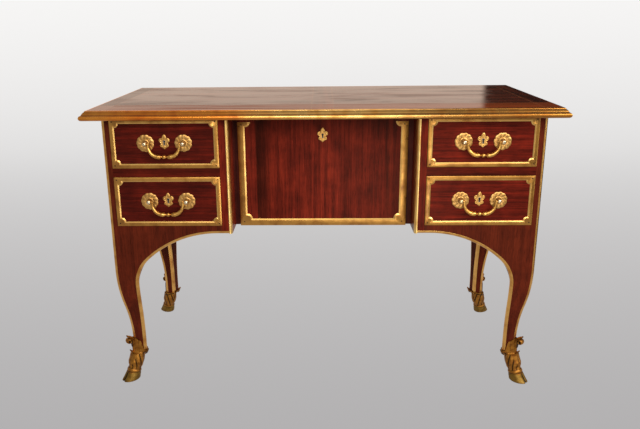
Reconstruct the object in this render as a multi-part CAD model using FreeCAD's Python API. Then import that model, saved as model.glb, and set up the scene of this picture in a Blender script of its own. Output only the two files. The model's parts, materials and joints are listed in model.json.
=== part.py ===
import FreeCAD, Part
import math
import os

from FreeCAD import Vector

# Money changers desk: a flat top on two drawer pedestals with cabriole legs, and between them a recessed
# compartment closed by a fall-front. Brass covers the corners, the arched edges and the rim of the top.
# Millimetres. X runs to the right, Y to the back, Z up. The origin is on the floor under the middle.

# Top board and its moulded brass rim
top_width = 1200.0
top_depth = 560.0
top_thickness = 25.0
rim_projection = 18.0
rim_lip_width = 6.0
rim_bead_radius = 3.0
rim_nose_radius = 8.5

# Carcass
top_overhang = 25.0
underside_height = 448.0
pedestal_width = 330.5
inner_side_thickness = 26.0
post_width = 20.5
apron_thickness = 20.0
bottom_thickness = 15.0
back_thickness = 15.0
rail_depth = 55.0
dust_board_thickness = 10.0

# Cabriole legs and the arches that spring from them
knee_width = 62.5
shoulder_width = 7.5
ankle_inset = 25.0
bend_drop = 105.0
ankle_height = 118.0
leg_foot_height = 78.0
heel_slant = 0.5
heel_set_in = 0.5
arch_rise_share = 0.78
arch_round_share = 0.52
arch_flat = 40.5

# Brass beads let into the arrises
bead_width = 8.0
bead_round = 7.0
heel_bead_width = 6.5

# Gilt hoof feet; a reach is measured outwards on the diagonal from the outer corner of the ankle
hoof_toe_reach = 16.5
hoof_toe_length = 26.0
hoof_half_width = 19.0
hoof_waist_height = 20.0
hoof_waist_reach = 6.5
hoof_waist_length = 22.5
hoof_waist_width = 20.0
collar_height = 40.0
collar_set_in = 2.0
collar_radius = 20.0
fetlock_height = 53.0
fetlock_set_in = 6.0
fetlock_radius = 21.0
shank_set_in = 13.0
shank_radius = 19.8
cuff_height = 124.0
cuff_shoulder_height = 106.0
cuff_shoulder_set_in = 22.0
cuff_inner_height = 84.0
cuff_inner_set_in = 32.0
cuff_foot_height = 66.0
cuff_wall = 3.0
scroll_height = 121.0
scroll_reach = 11.3
scroll_radius = 7.5
scroll_width = 20.0

# Drawer openings and drawers
bottom_rail_height = 23.0
lower_opening_height = 135.8
drawer_rail_height = 22.9
upper_opening_height = 131.3
drawer_gap = 0.8
drawer_front_thickness = 20.0
drawer_back_gap = 35.0
drawer_side_thickness = 10.0
drawer_bottom_thickness = 6.0
drawer_bottom_lift = 6.0
drawer_side_play = 1.0
drawer_run_gap = 0.3
drawer_side_drop = 20.0

# Brass frames on the drawers and the fall-front
frame_width = 12.0
frame_thickness = 2.5
frame_lobe = 10.0
fall_frame_width = 19.5
fall_frame_lobe = 14.5
fall_bare_top = 20.0

# Handles
handle_spacing = 99.5
handle_rise = 1.8
rosette_radius = 21.5
rosette_rim = 2.0
rosette_crown = 5.0
post_radius = 4.5
post_head_radius = 5.5
handle_reach = 13.0
bail_pin_radius = 2.0
bail_pin_clearance = 0.05
bail_half_width = 41.0
bail_drop = 34.0
bail_corner_radius = 28.0
bail_end_radius = 2.5
bail_elbow_radius = 2.8
bail_steps = 6
bail_swell_radius = 4.6
bail_neck_radius = 1.9
bail_neck_place = 6.5
bail_knob_radius = 4.8

# Escutcheons, keyholes and locks
escutcheon_rise = 5.0
escutcheon_width = 31.0
escutcheon_height = 40.0
escutcheon_thickness = 2.0
keyhole_radius = 2.5
keyhole_slot = 2.6
keyhole_drop = 8.0
lock_width = 46.0
lock_height = 40.0
lock_thickness = 9.0

# Fall-front, its pivots and the compartment behind it
recess_depth = 79.0
fall_thickness = 20.0
fall_side_gap = 0.5
fall_top_gap = 2.0
fall_floor_gap = 0.5
fall_stile_width = 13.5
fall_stile_lift = 3.0
fall_keyhole_drop = 56.3
fall_stop_width = 10.0
fall_stop_depth = 14.0
pivot_set_back = 6.0
pivot_radius = 3.0
pivot_depth = 16.0
floor_thickness = 20.0
pivot_clearance = 0.05
shelf_height = 160.0
shelf_thickness = 12.0
shelf_set_back = 60.0

# Places that follow from the sizes
carcass_width = top_width - 2 * top_overhang
carcass_depth = top_depth - 2 * top_overhang
side_x = carcass_width / 2
front_y = -carcass_depth / 2
kneehole_x = side_x - pedestal_width
inner_side_x = kneehole_x + inner_side_thickness
opening_x = side_x - post_width
lower_opening = underside_height + bottom_rail_height
rail_bottom = lower_opening + lower_opening_height
upper_opening = rail_bottom + drawer_rail_height
top_underside = upper_opening + upper_opening_height
desk_height = top_underside + top_thickness
back_y = carcass_depth / 2 - back_thickness
bend_top = underside_height - bend_drop
front_span = pedestal_width - knee_width - arch_flat
side_span = carcass_depth / 2 - knee_width
arch_rise = arch_rise_share * side_span
arch_small_radius = arch_round_share * side_span
arch_spring = underside_height - arch_rise
shoulder_x = knee_width + shoulder_width
bend_radius = ((bend_top - ankle_height) ** 2 + ankle_inset ** 2) / (4 * ankle_inset)
corner = Vector(-side_x, front_y, 0)
across_x = Vector(1, 0, 0)
across_y = Vector(0, 1, 0)
across_z = Vector(0, 0, 1)
centre = Vector(0, 0, 0)
nudge = 0.01


def export(name, solids):
    shape = solids[0] if len(solids) == 1 else Part.makeCompound(solids)
    shape.exportStep("parts/" + name + ".step")


def block(x0, x1, y0, y1, z0, z1):
    return Part.makeBox(x1 - x0, y1 - y0, z1 - z0, Vector(x0, y0, z0))


def mirror_x(shape):
    return shape.mirror(centre, across_x)


def mirror_y(shape):
    return shape.mirror(centre, across_y)


def cut_all(shape, tools):
    for tool in tools:
        shape = shape.cut(tool)
    return shape


# Upright outlines of the front left corner: u is measured inwards from the outer side face, z upwards.
def upright(u, z):
    return Vector(u - side_x, 0, z)


def straight(*points):
    pairs = [(a, b) for a, b in zip(points[:-1], points[1:]) if math.dist(a, b) > nudge]
    return [Part.LineSegment(upright(*a), upright(*b)).toShape() for a, b in pairs]


def curve(start, middle, end):
    return Part.Arc(upright(*start), upright(*middle), upright(*end)).toShape()


def ring_point(centre_u, centre_z, radius, angle):
    return (centre_u + radius * math.cos(angle), centre_z + radius * math.sin(angle))


def ring_arc(centre_u, centre_z, radius, start, end):
    angles = (start, (start + end) / 2, end)
    return curve(*[ring_point(centre_u, centre_z, radius, angle) for angle in angles])


def upright_solid(edges, y0, y1):
    face = Part.Face(Part.Wire(edges))
    face.translate(Vector(0, y0, 0))
    return face.extrude(Vector(0, y1 - y0, 0))


def turned(shape):
    """Swap the front and side directions about the front left corner."""
    return shape.mirror(corner, Vector(1, -1, 0))


# The outer line of a leg: straight down the post, then two tangent arcs in to the ankle
def leg_line_inset(z):
    if z >= bend_top:
        return 0.0
    if z <= ankle_height:
        return ankle_inset
    if z >= (bend_top + ankle_height) / 2:
        return bend_radius - math.sqrt(bend_radius ** 2 - (bend_top - z) ** 2)
    return ankle_inset - bend_radius + math.sqrt(bend_radius ** 2 - (z - ankle_height) ** 2)


def leg_line(shift, top):
    half_turn = math.asin((bend_top - ankle_height) / 2 / bend_radius)
    upper = ring_arc(bend_radius + shift, bend_top, bend_radius, math.pi, math.pi + half_turn)
    lower = ring_arc(ankle_inset - bend_radius + shift, ankle_height, bend_radius, half_turn, 0)
    post = straight((shift, top), (shift, bend_top))
    ankle = straight((ankle_inset + shift, ankle_height), (ankle_inset + shift, leg_foot_height))
    return post + [upper, lower] + ankle


# An arch springs upright from the leg with a small radius and meets the underside level with a large one
def arch_shape(span):
    small = arch_small_radius
    large = (span ** 2 + arch_rise ** 2 - 2 * span * small) / (2 * (arch_rise - small))
    meet = math.atan2(large - arch_rise, small - span)
    return small, large, meet


def arch_line(span, grow, start_angle=math.pi):
    """The two arcs of an arch, from the leg upwards, grown outwards into the wood."""
    small, large, meet = arch_shape(span)
    rising = ring_arc(knee_width + small, arch_spring, small + grow, start_angle, meet)
    level = ring_arc(knee_width + span, underside_height - large, large + grow, meet, math.pi / 2)
    return [rising, level]


def shoulder_angle():
    """Where the arch leaves the leg and passes into the apron."""
    return math.pi - math.acos((arch_small_radius - shoulder_width) / arch_small_radius)


shoulder_z = arch_spring + arch_small_radius * math.sin(shoulder_angle())


# Brass beads: each fills a square rebate along its arris and is rounded on the outside
def outer_band(top):
    far = straight((ankle_inset, leg_foot_height), (ankle_inset + bead_width, leg_foot_height))
    near = straight((bead_width, top), (0, top))
    edges = leg_line(0, top) + far + leg_line(bead_width, top)[::-1] + near
    return upright_solid(Part.__sortEdges__(edges), front_y - carcass_width, carcass_width)


def arch_band(span, end):
    foot = leg_foot_height
    lower = straight((knee_width, foot), (knee_width, arch_spring)) + arch_line(span, 0)
    lower += straight((knee_width + span, underside_height), (end, underside_height))
    lip = straight((end, underside_height), (end, underside_height + bead_width))
    upper = straight((end, underside_height + bead_width), (knee_width + span, underside_height + bead_width))
    upper += arch_line(span, bead_width)[::-1]
    upper += straight((knee_width - bead_width, arch_spring), (knee_width - bead_width, foot))
    heel = straight((knee_width - bead_width, foot), (knee_width, foot))
    edges = Part.__sortEdges__(lower + lip + upper + heel)
    return upright_solid(edges, front_y - bead_width, -front_y), Part.Wire(Part.__sortEdges__(lower))


def rounded(solid, on_arris):
    arris = [edge for edge in solid.Edges if on_arris(edge.valueAt(
        (edge.FirstParameter + edge.LastParameter) / 2))]
    return solid.makeFillet(bead_round, arris)


def on_outer_face(distance, z):
    return abs(distance - leg_line_inset(z)) < nudge


front_band = turned(outer_band(top_underside))
corner_rebate = outer_band(top_underside).common(front_band)
corner_bead = rounded(corner_rebate, lambda p: on_outer_face(p.x + side_x, p.z)
                      and on_outer_face(p.y - front_y, p.z))


def arch_bead(span, end):
    band, path = arch_band(span, end)
    strip = band.common(front_band)
    face_slab = block(-carcass_width, carcass_width, front_y, front_y + bead_width, 0, top_underside)
    rebate = strip.fuse(band.common(face_slab))

    def on_arris(p):
        flat = Part.Vertex(p.x, 0, p.z)
        return on_outer_face(p.y - front_y, p.z) and flat.distToShape(path)[0] < nudge

    return rebate, rounded(strip, on_arris)


front_rebate, front_bead = arch_bead(front_span, pedestal_width - bead_width)
back_rebate, back_bead = arch_bead(front_span, side_x)
side_rebate, side_bead = [turned(shape) for shape in arch_bead(side_span, carcass_depth / 2)]

inner_rebate = block(-kneehole_x - bead_width, -kneehole_x, front_y, front_y + bead_width,
                     underside_height, top_underside)
inner_bead = rounded(inner_rebate, lambda p: abs(p.x + kneehole_x) + abs(p.y - front_y) < nudge)


# The inner faces of a leg lean outwards from the beads of its two arches, so that they meet in a blunt arris
heel_top = lower_opening - bottom_thickness
heel_levels = [0, ankle_height, (bend_top + ankle_height) / 2, arch_spring, shoulder_z, heel_top]


def inner_face_place(z):
    """Where an inner face would meet the plane of the front at this height."""
    low = knee_width - heel_set_in + heel_slant * (leg_line_inset(z) + bead_width)
    high = shoulder_x + heel_slant * post_width
    rise = min(1, max(0, (z - arch_spring) / (shoulder_z - arch_spring)))
    return low + (high - low) * rise ** 2


def inner_arris_place(z):
    return inner_face_place(z) / (1 + heel_slant)


def outline_beyond(place, shift):
    """The outline of all that lies further in than a line given by its place at each height."""
    line = [(place(z) + shift, z) for z in heel_levels]
    halfway = [(low + high) / 2 for low, high in zip(heel_levels[:-1], heel_levels[1:])]
    bends = [(place(z) + shift, z) for z in halfway]
    edges = []
    for start, bend, end in zip(line[:-1], bends, line[1:]):
        flat = abs(start[0] + end[0] - 2 * bend[0]) < nudge
        edges += straight(start, end) if flat else [curve(start, bend, end)]
    far = 2 * knee_width
    return edges + straight(line[-1], (far, heel_top), (far, 0), line[0])


def heel_wedge(grow):
    face = Part.Face(Part.Wire(Part.__sortEdges__(outline_beyond(inner_face_place, grow))))
    face.translate(Vector(0, front_y, 0))
    depth = 2 * knee_width
    return face.extrude(Vector(-heel_slant * depth, depth, 0))


heel_band = upright_solid(Part.__sortEdges__(outline_beyond(inner_arris_place, -heel_bead_width)),
                          front_y - carcass_width, carcass_width)
heel_rebate = heel_band.common(turned(heel_band))


# Leg: the cabriole shape is sawn from the front and from the side, and the post runs up to the top
def make_leg():
    shoulder = ring_arc(knee_width + arch_small_radius, arch_spring, arch_small_radius,
                        math.pi, shoulder_angle())
    edges = leg_line(0, lower_opening)
    edges += straight((ankle_inset, leg_foot_height), (knee_width, leg_foot_height),
                      (knee_width, arch_spring))
    edges += [shoulder]
    edges += straight((shoulder_x, shoulder_z), (shoulder_x, lower_opening), (0, lower_opening))
    sawn = upright_solid(Part.__sortEdges__(edges), front_y - carcass_width, carcass_width)
    post = block(-side_x, -opening_x, front_y, front_y + shoulder_x, lower_opening, top_underside)
    leg = sawn.common(turned(sawn)).fuse(post).removeSplitter()
    leg = cut_all(leg, [heel_wedge(0), turned(heel_wedge(0))])
    wood = cut_all(leg, [corner_rebate, front_rebate, side_rebate, heel_rebate])
    return wood, leg.common(heel_rebate)


leg, heel_bead = make_leg()


# Hoof foot: a cast shoe with a hoof that points out along the diagonal, a collar, a round fetlock and a cuff
# round the end of the leg. The cuff stands highest on the outer corner, where a scroll curls outwards.
def make_sabot():
    out = Vector(-1, -1, 0).normalize()
    across = Vector(1, -1, 0).normalize()
    ankle = corner + Vector(ankle_inset, ankle_inset, 0)

    def section(z, reach, half_length, half_width):
        place = ankle + out * reach + Vector(0, 0, z)
        ring = Part.Ellipse(place + out * (half_length + nudge), place + across * half_width, place)
        return Part.Wire(ring.toShape())

    def sideways(points, width):
        outline = [ankle + out * reach - across * width / 2 + Vector(0, 0, z) for reach, z in points]
        return Part.Face(Part.makePolygon(outline + outline[:1])).extrude(across * width)

    collar = section(collar_height, -collar_set_in, collar_radius, collar_radius)
    hoof = Part.makeLoft([section(0, hoof_toe_reach, hoof_toe_length, hoof_half_width),
                          section(hoof_waist_height, hoof_waist_reach, hoof_waist_length, hoof_waist_width),
                          collar], True)
    fetlock = Part.makeLoft([collar, section(fetlock_height, -fetlock_set_in, fetlock_radius, fetlock_radius),
                             section(leg_foot_height, -shank_set_in, shank_radius, shank_radius)], True)
    cuff_size = knee_width - ankle_inset + 2 * cuff_wall
    cuff_low = corner + Vector(ankle_inset - cuff_wall, ankle_inset - cuff_wall, cuff_foot_height)
    cuff = Part.makeBox(cuff_size, cuff_size, cuff_height - cuff_foot_height, cuff_low)
    cuff = cuff.common(sideways([(cuff_size, cuff_foot_height), (cuff_size, cuff_height),
                                 (0, cuff_height), (-cuff_shoulder_set_in, cuff_shoulder_height),
                                 (-cuff_inner_set_in, cuff_inner_height), (-2 * cuff_size, cuff_inner_height),
                                 (-2 * cuff_size, cuff_foot_height)], 2 * cuff_size))
    lean = cuff_wall * math.sqrt(1 + heel_slant ** 2)
    cuff = cut_all(cuff, [heel_wedge(lean), turned(heel_wedge(lean))])
    neck = sideways([(scroll_reach, scroll_height + scroll_radius), (-cuff_wall, cuff_height),
                     (-cuff_wall, scroll_height - scroll_radius), (scroll_reach, scroll_height)],
                    scroll_width)
    curl = ankle + out * scroll_reach - across * scroll_width / 2 + Vector(0, 0, scroll_height)
    scroll = Part.makeCylinder(scroll_radius, scroll_width, curl, across)
    shoe = hoof.fuse([fetlock, cuff, neck, scroll]).removeSplitter()
    return cut_all(shoe, [leg, corner_bead, front_bead, side_bead, heel_bead])


sabot = make_sabot()


def four_corners(shape):
    return [("front_left", shape), ("front_right", mirror_x(shape)),
            ("back_left", mirror_y(shape)), ("back_right", mirror_x(mirror_y(shape)))]


# Front apron: horizontal rail under the lower drawer with the arch sawn out of it
def make_apron():
    end = pedestal_width - inner_side_thickness
    start = shoulder_angle()
    edges = arch_line(front_span, 0, start)
    edges += straight((knee_width + front_span, underside_height), (end, underside_height),
                      (end, lower_opening), (shoulder_x, lower_opening), (shoulder_x, shoulder_z))
    board = upright_solid(Part.__sortEdges__(edges), front_y, front_y + apron_thickness)
    return board.cut(front_rebate)


# Side panel between the posts, with an arched lower edge; drawn as half a panel and mirrored
def make_side_panel():
    edges = arch_line(side_span, 0, shoulder_angle())
    edges += straight((carcass_depth / 2, underside_height), (carcass_depth / 2, top_underside),
                      (shoulder_x, top_underside), (shoulder_x, shoulder_z))
    half = turned(upright_solid(Part.__sortEdges__(edges), front_y, front_y + post_width))
    half = half.cut(side_rebate)
    return half.fuse(mirror_y(half)).removeSplitter()


# Back panel between the back posts, with the same arches as the front
def make_back_panel():
    edges = arch_line(front_span, 0, shoulder_angle())
    edges += straight((knee_width + front_span, underside_height), (side_x, underside_height),
                      (side_x, top_underside), (post_width, top_underside), (post_width, lower_opening),
                      (shoulder_x, lower_opening), (shoulder_x, shoulder_z))
    half = upright_solid(Part.__sortEdges__(edges), front_y, front_y + back_thickness).cut(back_rebate)
    half = mirror_y(half)
    return half.fuse(mirror_x(half)).removeSplitter()


def make_inner_side():
    board = block(-inner_side_x, -kneehole_x, front_y, back_y, underside_height, top_underside)
    return cut_all(board, [inner_rebate, front_rebate])


def make_pedestal_bottom():
    board = block(-opening_x, -inner_side_x, front_y + apron_thickness, back_y,
                  lower_opening - bottom_thickness, lower_opening)
    return cut_all(board, [leg, mirror_y(leg)])


drawer_rail = block(-opening_x, -inner_side_x, front_y, front_y + rail_depth, rail_bottom, upper_opening)
dust_board = block(-opening_x, -inner_side_x, front_y + rail_depth, back_y,
                   upper_opening - dust_board_thickness, upper_opening)


# Top: board and four mitred lengths of rim
def rim_length(length, distance):
    """One length of rim along the front, outside a board edge at the given distance from the middle."""
    nose_z = desk_height - top_thickness + rim_nose_radius
    nose_o = rim_projection - rim_nose_radius
    bead_end = desk_height - 2 * rim_bead_radius

    def at(outward, z):
        return Vector(0, -distance - outward, z)

    edges = [
        Part.LineSegment(at(0, desk_height), at(rim_lip_width, desk_height)).toShape(),
        Part.Arc(at(rim_lip_width, desk_height),
                 at(rim_lip_width + rim_bead_radius, desk_height - rim_bead_radius),
                 at(rim_lip_width, bead_end)).toShape(),
        Part.LineSegment(at(rim_lip_width, bead_end), at(nose_o, nose_z + rim_nose_radius)).toShape(),
        Part.Arc(at(nose_o, nose_z + rim_nose_radius), at(nose_o + rim_nose_radius, nose_z),
                 at(nose_o, nose_z - rim_nose_radius)).toShape(),
        Part.LineSegment(at(nose_o, top_underside), at(0, top_underside)).toShape(),
        Part.LineSegment(at(0, top_underside), at(0, desk_height)).toShape(),
    ]
    far = length / 2 + rim_projection
    profile = Part.Face(Part.Wire(edges))
    profile.translate(Vector(-far, 0, 0))
    bar = profile.extrude(Vector(2 * far, 0, 0))
    corners = [Vector(-length / 2, -distance, 0), Vector(length / 2, -distance, 0),
               Vector(far, -distance - rim_projection, 0), Vector(-far, -distance - rim_projection, 0)]
    mitre = Part.Face(Part.makePolygon(corners + corners[:1])).extrude(Vector(0, 0, desk_height))
    return bar.common(mitre)


top_panel = block(-top_width / 2, top_width / 2, -top_depth / 2, top_depth / 2, top_underside, desk_height)
rim_front = rim_length(top_width, top_depth / 2)
rim_side = rim_length(top_depth, top_width / 2)
rim_side.rotate(centre, across_z, -90)


# A flat brass strip with a round lobe at each inner corner, mitred at its ends or cut square at the far one
def frame_strip(start, end, inward, width, lobe, square_end=False):
    length = start.distanceToPoint(end)
    along = (end - start) / length

    def at(run, depth):
        return start + along * run + inward * depth

    def lobe_arc(run, sign, first, last):
        angles = (first, (first + last) / 2, last)
        return [at(run + sign * lobe * math.cos(angle), width + lobe * math.sin(angle)) for angle in angles]

    mitre = math.pi / 4
    near = lobe_arc(width, 1, mitre, 0)
    if square_end:
        far = lobe_arc(length, -1, 0, 2 * mitre)
    else:
        far = lobe_arc(length - width, -1, 0, mitre)
    sides = [(start, near[0]), (near[2], far[0]), (far[2], end), (end, start)]
    edges = [Part.LineSegment(*side).toShape() for side in sides]
    edges += [Part.Arc(*near).toShape(), Part.Arc(*far).toShape()]
    return Part.Face(Part.Wire(Part.__sortEdges__(edges))).extrude(Vector(0, -frame_thickness, 0))


# A brass frame of four strips, or of three where it is open at the top
def make_frame(x0, x1, z0, z1, face_y, width, lobe, open_top=False):
    low_left, low_right = Vector(x0, face_y, z0), Vector(x1, face_y, z0)
    high_left, high_right = Vector(x0, face_y, z1), Vector(x1, face_y, z1)
    strips = [frame_strip(low_left, low_right, across_z, width, lobe),
              frame_strip(low_left, high_left, across_x, width, lobe, open_top),
              frame_strip(low_right, high_right, -across_x, width, lobe, open_top)]
    if not open_top:
        strips += [frame_strip(high_left, high_right, -across_z, width, lobe)]
    return strips


# Keyhole and the lobed escutcheon round it: a pointed top leaf, two ears and a shield that ends in a point
def keyhole(x, z, y0, y1):
    hole = Part.makeCylinder(keyhole_radius, y1 - y0, Vector(x, y0, z), across_y)
    slot = block(x - keyhole_slot / 2, x + keyhole_slot / 2, y0, y1, z - keyhole_drop, z)
    return hole.fuse(slot)


# Right half of an escutcheon, from its top to its bottom point. Each arc has three points, in half widths
# and half heights.
escutcheon_arcs = [((0, 1), (0.36, 0.78), (0.44, 0.5)), ((0.44, 0.5), (0.8, 0.62), (1, 0.36)),
                   ((1, 0.36), (0.92, 0.06), (0.66, -0.2)), ((0.66, -0.2), (0.76, -0.38), (0.66, -0.54)),
                   ((0.66, -0.54), (0.36, -0.8), (0, -1))]


def make_escutcheon(x, z, face_y):
    def at(sign, point):
        across, up = point
        return Vector(x + sign * across * escutcheon_width / 2, face_y, z + up * escutcheon_height / 2)

    arcs = [[at(sign, point) for point in arc] for sign in (1, -1) for arc in escutcheon_arcs]
    edges = [Part.Arc(*arc).toShape() for arc in arcs]
    outline = Part.Wire(Part.__sortEdges__(edges))
    plate = Part.Face(outline).extrude(Vector(0, -escutcheon_thickness, 0))
    return plate.cut(keyhole(x, z, face_y - escutcheon_thickness, face_y))


def make_lock(x, z, inner_y):
    return block(x - lock_width / 2, x + lock_width / 2, inner_y, inner_y + lock_thickness,
                 z - lock_height / 2, z + lock_height / 2)


# Handle: two rosettes with posts, and a bail whose end pins turn in the posts
def make_rosette(x, z, face_y):
    axis_y = face_y - handle_reach
    rim = face_y - rosette_rim
    crown = face_y - rosette_crown

    def at(radius, y):
        return Vector(x + radius, y, z)

    edges = [
        Part.LineSegment(at(0, face_y), at(rosette_radius, face_y)).toShape(),
        Part.LineSegment(at(rosette_radius, face_y), at(rosette_radius, rim)).toShape(),
        Part.Arc(at(rosette_radius, rim), at((rosette_radius + post_radius) / 2, crown),
                 at(post_radius, rim)).toShape(),
        Part.LineSegment(at(post_radius, rim), at(0, rim)).toShape(),
        Part.LineSegment(at(0, rim), at(0, face_y)).toShape(),
    ]
    dish = Part.Face(Part.Wire(edges)).revolve(Vector(x, 0, z), across_y, 360)
    post = Part.makeCylinder(post_radius, handle_reach, Vector(x, axis_y, z), across_y)
    head = Part.makeSphere(post_head_radius, Vector(x, axis_y, z))
    bore = Part.makeCylinder(bail_pin_radius + bail_pin_clearance, 2 * post_head_radius,
                             Vector(x - post_head_radius, axis_y, z), across_x)
    return dish.fuse([post, head]).cut(bore)


def make_bail(x, z, face_y):
    axis_y = face_y - handle_reach
    bottom = z - bail_drop
    turn = bail_corner_radius
    quarter = math.pi / 2

    def at(outward, height):
        return Vector(x + outward, axis_y, height)

    def arm(sign):
        def ring(outward, height, angle, radius):
            back_along = Vector(sign * math.sin(angle), 0, math.cos(angle))
            return Part.Wire(Part.Circle(at(sign * outward, height), back_along, radius).toShape())

        rings = [ring(bail_half_width, z, 0, bail_end_radius)]
        for step in range(bail_steps + 1):
            angle = quarter * step / bail_steps
            radius = bail_end_radius + (bail_swell_radius - bail_end_radius) * step / bail_steps
            rings += [ring(bail_half_width - turn + turn * math.cos(angle),
                           bottom + turn - turn * math.sin(angle), angle, radius)]
        rings += [ring(bail_neck_place, bottom, quarter, bail_neck_radius)]
        elbow = Part.makeSphere(bail_elbow_radius, at(sign * bail_half_width, z))
        pin_length = handle_spacing / 2 + post_radius - bail_half_width
        pin = Part.makeCylinder(bail_pin_radius, pin_length, at(sign * bail_half_width, z), across_x * sign)
        return [Part.makeLoft(rings, True, True), elbow, pin]

    neck = Part.makeCylinder(bail_neck_radius, 2 * bail_neck_place, at(-bail_neck_place, bottom), across_x)
    knob = Part.makeSphere(bail_knob_radius, at(0, bottom), across_x)
    return neck.fuse([knob] + arm(-1) + arm(1)).removeSplitter()


# One drawer: front, dovetailed box, brass frame, handle, escutcheon and lock
def make_drawer(name, x0, x1, z0, z1):
    middle = (x0 + x1) / 2
    handle_z = (z0 + z1) / 2 + handle_rise
    key_z = (z0 + z1) / 2 + escutcheon_rise
    inner_y = front_y + drawer_front_thickness
    end_y = back_y - drawer_back_gap
    front = block(x0 + drawer_gap, x1 - drawer_gap, front_y, inner_y, z0 + drawer_gap, z1 - drawer_gap)
    export("drawer_front_" + name, [front.cut(keyhole(middle, key_z, front_y, inner_y))])

    left, right = x0 + drawer_side_play, x1 - drawer_side_play
    low, high = z0 + drawer_run_gap, z1 - drawer_side_drop
    board = low + drawer_bottom_lift
    wall = drawer_side_thickness
    export("drawer_box_" + name, [
        block(left, left + wall, inner_y, end_y, low, high),
        block(right - wall, right, inner_y, end_y, low, high),
        block(left + wall, right - wall, end_y - wall, end_y, low, high),
        block(left + wall, right - wall, inner_y, end_y - wall, board, board + drawer_bottom_thickness),
    ])
    export("brass_frame_" + name, make_frame(x0 + drawer_gap, x1 - drawer_gap, z0 + drawer_gap,
                                             z1 - drawer_gap, front_y, frame_width, frame_lobe))
    plates = [make_rosette(middle + sign * handle_spacing / 2, handle_z, front_y) for sign in (-1, 1)]
    export("handle_plates_" + name, plates)
    export("bail_" + name, [make_bail(middle, handle_z, front_y)])
    export("escutcheon_" + name, [make_escutcheon(middle, key_z, front_y)])
    export("lock_" + name, [make_lock(middle, key_z, inner_y)])


# Fall-front: the panel turns on two pins near its lower front edge, so that its weight leans it shut against
# the stops behind it. Its lower inner edge is rounded about the pins and turns clear of the floor board.
fall_y = front_y + recess_depth
fall_back = fall_y + fall_thickness
fall_x = kneehole_x - fall_stile_width
fall_top = top_underside - fall_top_gap
heel_radius = fall_thickness - pivot_set_back
pivot_y = fall_y + pivot_set_back
pivot_z = underside_height + heel_radius
floor_top = pivot_z + heel_radius
floor_front = fall_back + fall_floor_gap


def pivot_pin(sign, radius, inner_x, outer_x):
    start = Vector(sign * inner_x, pivot_y, pivot_z)
    return Part.makeCylinder(radius, outer_x - inner_x, start, Vector(sign, 0, 0))


def make_fall_panel():
    half = fall_x - fall_side_gap
    panel = block(-half, half, fall_y, fall_back, underside_height, fall_top)
    heel = [edge for edge in panel.Edges if edge.CenterOfMass.sub(
        Vector(0, fall_back, underside_height)).Length < nudge]
    panel = panel.makeFillet(heel_radius, heel)
    bores = [pivot_pin(sign, pivot_radius + pivot_clearance, half - pivot_depth, half) for sign in (-1, 1)]
    key_z = fall_top - fall_keyhole_drop
    return cut_all(panel, bores + [keyhole(0, key_z, fall_y, fall_back)])


def make_fall_stile(sign):
    low, high = sorted((sign * fall_x, sign * kneehole_x))
    stile = block(low, high, fall_y, floor_front, underside_height + fall_stile_lift, top_underside)
    low, high = sorted((sign * (fall_x - fall_stop_width), sign * kneehole_x))
    stop = block(low, high, floor_front, floor_front + fall_stop_depth, floor_top, top_underside)
    return stile.fuse(stop).removeSplitter().cut(pivot_pin(sign, pivot_radius, fall_x, kneehole_x))


def make_pivot_pins():
    inner_end = fall_x - fall_side_gap - pivot_depth
    return [pivot_pin(sign, pivot_radius, inner_end, kneehole_x) for sign in (-1, 1)]


compartment_floor = block(-kneehole_x, kneehole_x, floor_front, back_y,
                          floor_top - floor_thickness, floor_top)
compartment_shelf = block(-kneehole_x, kneehole_x, floor_front + shelf_set_back, back_y,
                          floor_top + shelf_height, floor_top + shelf_height + shelf_thickness)

os.makedirs("parts", exist_ok=True)

export("top_panel", [top_panel])
export("top_rim", [rim_front, mirror_y(rim_front), rim_side, mirror_x(rim_side)])
for place, shape in four_corners(leg):
    export("leg_" + place, [shape])
for place, shape in four_corners(sabot):
    export("hoof_foot_" + place, [shape])

export("corner_beads", [shape for place, shape in four_corners(corner_bead)])
export("leg_inner_beads", [shape for place, shape in four_corners(heel_bead)])
export("inner_corner_beads", [inner_bead, mirror_x(inner_bead)])
side_arch_bead = side_bead.fuse(mirror_y(side_bead)).removeSplitter()
back_arch_bead = mirror_y(back_bead.fuse(mirror_x(back_bead)).removeSplitter())
export("arch_beads", [front_bead, mirror_x(front_bead), side_arch_bead, mirror_x(side_arch_bead),
                      back_arch_bead])

side_panel = make_side_panel()
inner_side = make_inner_side()
apron = make_apron()
pedestal_bottom = make_pedestal_bottom()
for name, shape in (("side_panel", side_panel), ("inner_side", inner_side), ("front_apron", apron)):
    export(name + "_left", [shape])
    export(name + "_right", [mirror_x(shape)])
for name, shape in (("drawer_rails", drawer_rail), ("dust_boards", dust_board),
                    ("pedestal_bottoms", pedestal_bottom)):
    export(name, [shape, mirror_x(shape)])
export("back_panel", [make_back_panel()])

for place, left, right in (("left", -opening_x, -inner_side_x), ("right", inner_side_x, opening_x)):
    make_drawer("upper_" + place, left, right, upper_opening, top_underside)
    make_drawer("lower_" + place, left, right, lower_opening, rail_bottom)

export("compartment_floor", [compartment_floor])
export("compartment_shelf", [compartment_shelf])
export("fall_stiles", [make_fall_stile(-1), make_fall_stile(1)])
export("fall_pivot_pins", make_pivot_pins())
export("fall_panel", [make_fall_panel()])
fall_half = fall_x - fall_side_gap
export("fall_brass_frame", make_frame(-fall_half, fall_half, underside_height, fall_top - fall_bare_top,
                                      fall_y, fall_frame_width, fall_frame_lobe, True))
export("fall_escutcheon", [make_escutcheon(0, fall_top - fall_keyhole_drop, fall_y)])
export("fall_lock", [make_lock(0, fall_top - fall_keyhole_drop, fall_back)])
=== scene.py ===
import json
import math

import bmesh
import bpy
from mathutils import Matrix, Vector


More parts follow.
